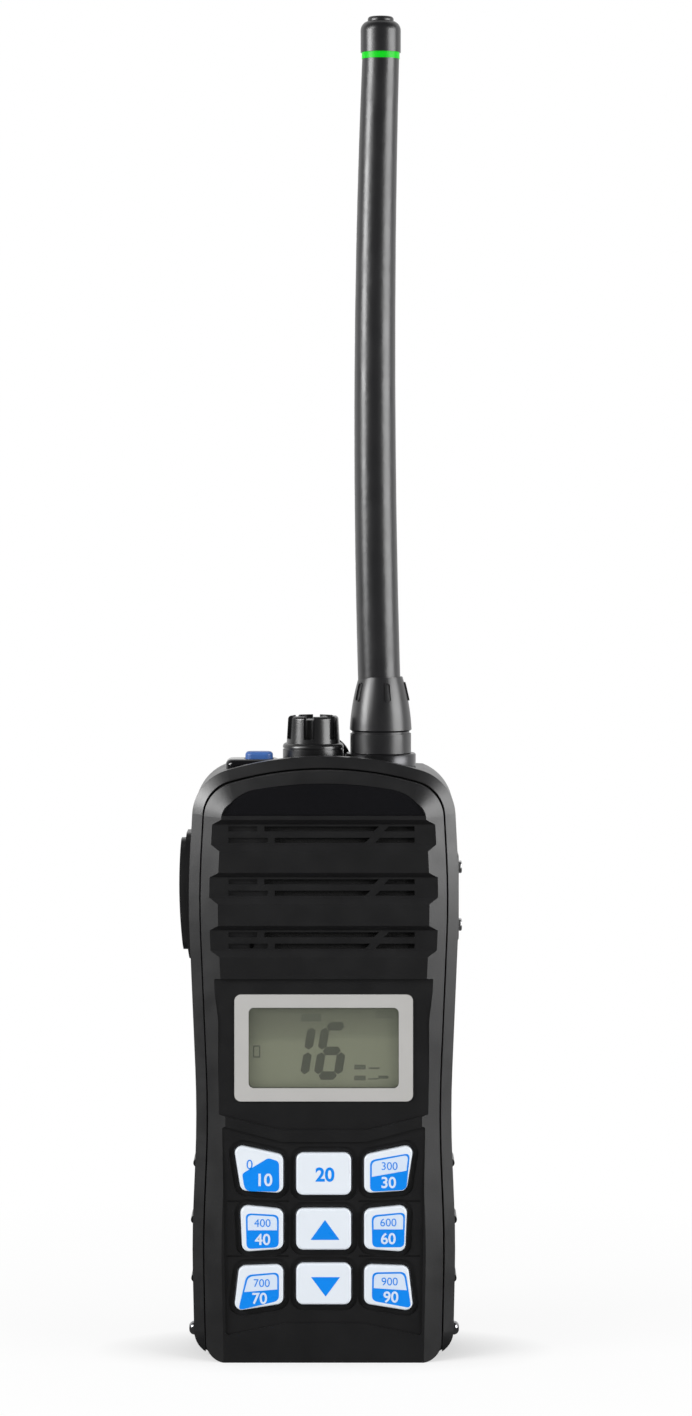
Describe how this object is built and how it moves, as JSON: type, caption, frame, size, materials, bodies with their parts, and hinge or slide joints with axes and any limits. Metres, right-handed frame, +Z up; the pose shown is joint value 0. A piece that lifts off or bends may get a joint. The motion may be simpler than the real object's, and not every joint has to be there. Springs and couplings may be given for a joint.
{
  "type": "marine vhf handheld radio",
  "caption": "Black handheld marine VHF radio with whip antenna, lobed knob, grille bands, display, white keypad, side talk key, latched battery and belt clip.",
  "frame": {"origin": "centre of the body's width on the base, just in front of the latch recess", "axes": "+Z up along the body and antenna, front face towards -Y, +X to the right seen from the front"},
  "size_m": [0.0655, 0.0437, 0.3097],
  "materials": {
    "case_black": "fine spark texture, satin",
    "knob_black": "satin",
    "gloss_black": "gloss",
    "seal_rubber": "matte",
    "ptt_rubber": "matte",
    "gauze_black": "woven",
    "inner_steel": "brushed",
    "inner_paper": "matte",
    "inner_black": "matte",
    "frame_silver": "satin",
    "window_clear": "clear",
    "lcd_green": "satin",
    "board_green": "matte",
    "cast_grey": "cast",
    "brass_thread": "machined",
    "flange_metal": "machined",
    "antenna_black": "satin",
    "ring_green": "gloss",
    "button_blue": "satin",
    "key_white": "satin",
    "strap_eye_metal": "satin",
    "screw_steel": "satin",
    "contact_gold": "plated",
    "pin_chrome": "polished",
    "latch_black": "satin",
    "clip_black": "satin",
    "cell_grey": "matte"
  },
  "bodies": {
    "case": {"front_case": "case_black", "rear_case": "case_black", "power_bezel": "gloss_black", "name_plate": "gloss_black", "case_seal": "seal_rubber", "keypad_mat": "seal_rubber", "ptt_frame": "case_black", "accessory_cover": "case_black", "speaker_gauze": "gauze_black", "speaker_frame": "inner_steel", "speaker_cone": "inner_paper", "speaker_magnet": "inner_steel", "mic_capsule": "inner_steel", "display_frame": "frame_silver", "display_window": "window_clear", "display_panel": "lcd_green", "keypad_board": "board_green", "main_board": "board_green", "heat_spreader": "cast_grey", "encoder_body": "inner_steel", "encoder_nut": "inner_steel", "antenna_socket": "brass_thread", "antenna_flange": "flange_metal", "power_switch": "inner_black", "ptt_switch": "inner_black", "jack_sockets": "inner_black", "strap_eye": "strap_eye_metal", "cover_screws": "screw_steel", "case_screws": "screw_steel", "contact_springs": "contact_gold", "latch_pin": "pin_chrome"},
    "knob": {"knob_cap": "knob_black", "knob_shaft": "inner_steel"},
    "power_button": {"power_button": "button_blue"},
    "ptt_key": {"ptt_key": "ptt_rubber"},
    "antenna_seal": {"antenna_seal": "seal_rubber"},
    "antenna": {"antenna_collar": "antenna_black", "antenna_sleeve": "antenna_black", "antenna_whip": "antenna_black", "antenna_ring": "ring_green", "antenna_cap": "antenna_black"},
    "battery": {"battery_case": "case_black", "battery_lid": "case_black", "battery_contacts": "contact_gold", "battery_cells": "cell_grey", "clip_base": "case_black", "clip_pin": "inner_steel", "clip_screws": "screw_steel", "clip_spring": "inner_steel"},
    "battery_latch": {"battery_latch": "latch_black"},
    "belt_clip": {"clip_plate": "clip_black"},
    "key_top_left": {"key_top_left": "key_white"},
    "key_top_centre": {"key_top_centre": "key_white"},
    "key_top_right": {"key_top_right": "key_white"},
    "key_middle_left": {"key_middle_left": "key_white"},
    "key_up": {"key_up": "key_white"},
    "key_middle_right": {"key_middle_right": "key_white"},
    "key_low_left": {"key_low_left": "key_white"},
    "key_down": {"key_down": "key_white"},
    "key_low_right": {"key_low_right": "key_white"}
  },
  "joints": [
    {"name": "key_top_left_press", "type": "slide", "parent": "case", "child": "key_top_left", "axis": [0, 1, 0], "range_m": [0, 0.0008], "stiffness_N_per_m": 400},
    {"name": "key_top_centre_press", "type": "slide", "parent": "case", "child": "key_top_centre", "axis": [0, 1, 0], "range_m": [0, 0.0008], "stiffness_N_per_m": 400},
    {"name": "key_top_right_press", "type": "slide", "parent": "case", "child": "key_top_right", "axis": [0, 1, 0], "range_m": [0, 0.0008], "stiffness_N_per_m": 400},
    {"name": "key_middle_left_press", "type": "slide", "parent": "case", "child": "key_middle_left", "axis": [0, 1, 0], "range_m": [0, 0.0008], "stiffness_N_per_m": 400},
    {"name": "key_up_press", "type": "slide", "parent": "case", "child": "key_up", "axis": [0, 1, 0], "range_m": [0, 0.0008], "stiffness_N_per_m": 400},
    {"name": "key_middle_right_press", "type": "slide", "parent": "case", "child": "key_middle_right", "axis": [0, 1, 0], "range_m": [0, 0.0008], "stiffness_N_per_m": 400},
    {"name": "key_low_left_press", "type": "slide", "parent": "case", "child": "key_low_left", "axis": [0, 1, 0], "range_m": [0, 0.0008], "stiffness_N_per_m": 400},
    {"name": "key_down_press", "type": "slide", "parent": "case", "child": "key_down", "axis": [0, 1, 0], "range_m": [0, 0.0008], "stiffness_N_per_m": 400},
    {"name": "key_low_right_press", "type": "slide", "parent": "case", "child": "key_low_right", "axis": [0, 1, 0], "range_m": [0, 0.0008], "stiffness_N_per_m": 400},
    {"name": "power_press", "type": "slide", "parent": "case", "child": "power_button", "axis": [0, 0, -1], "range_m": [0, 0.0008], "stiffness_N_per_m": 500},
    {"name": "ptt_press", "type": "slide", "parent": "case", "child": "ptt_key", "axis": [1, 0, 0], "range_m": [0, 0.001], "stiffness_N_per_m": 800},
    {"name": "knob_turn", "type": "hinge", "parent": "case", "child": "knob", "pos_m": [-0.00255, 0.0075, 0.1344], "axis": [0, 0, -1], "range_deg": [0, 300]},
    {"name": "antenna_lift", "type": "slide", "parent": "case", "child": "antenna_seal", "axis": [0, 0, 1], "range_m": [0, 0.0075]},
    {"name": "antenna_turn", "type": "hinge", "parent": "antenna_seal", "child": "antenna", "pos_m": [0.0132, 0.0075, 0.1378], "axis": [0, 0, 1], "range_deg": [0, 2160]},
    {"name": "battery_slide", "type": "slide", "parent": "case", "child": "battery", "axis": [0, 1, 0], "range_m": [0, 0.01]},
    {"name": "latch_swing", "type": "hinge", "parent": "case", "child": "battery_latch", "pos_m": [0, 0.006, 0.0039], "axis": [-1, 0, 0], "range_deg": [0, 90]},
    {"name": "clip_open", "type": "hinge", "parent": "battery", "child": "belt_clip", "pos_m": [0, 0.0279, 0.0945], "axis": [1, 0, 0], "range_deg": [0, 10], "stiffness_Nm_per_rad": 0.4, "deforming": ["clip_spring"]}
  ],
  "couplings": [
    {"joint": "antenna_turn", "follows": "antenna_lift", "rad_per_m": 5026.5},
    {"joint": "latch_swing", "follows": "battery_slide", "rad_per_m": 157.06}
  ]
}
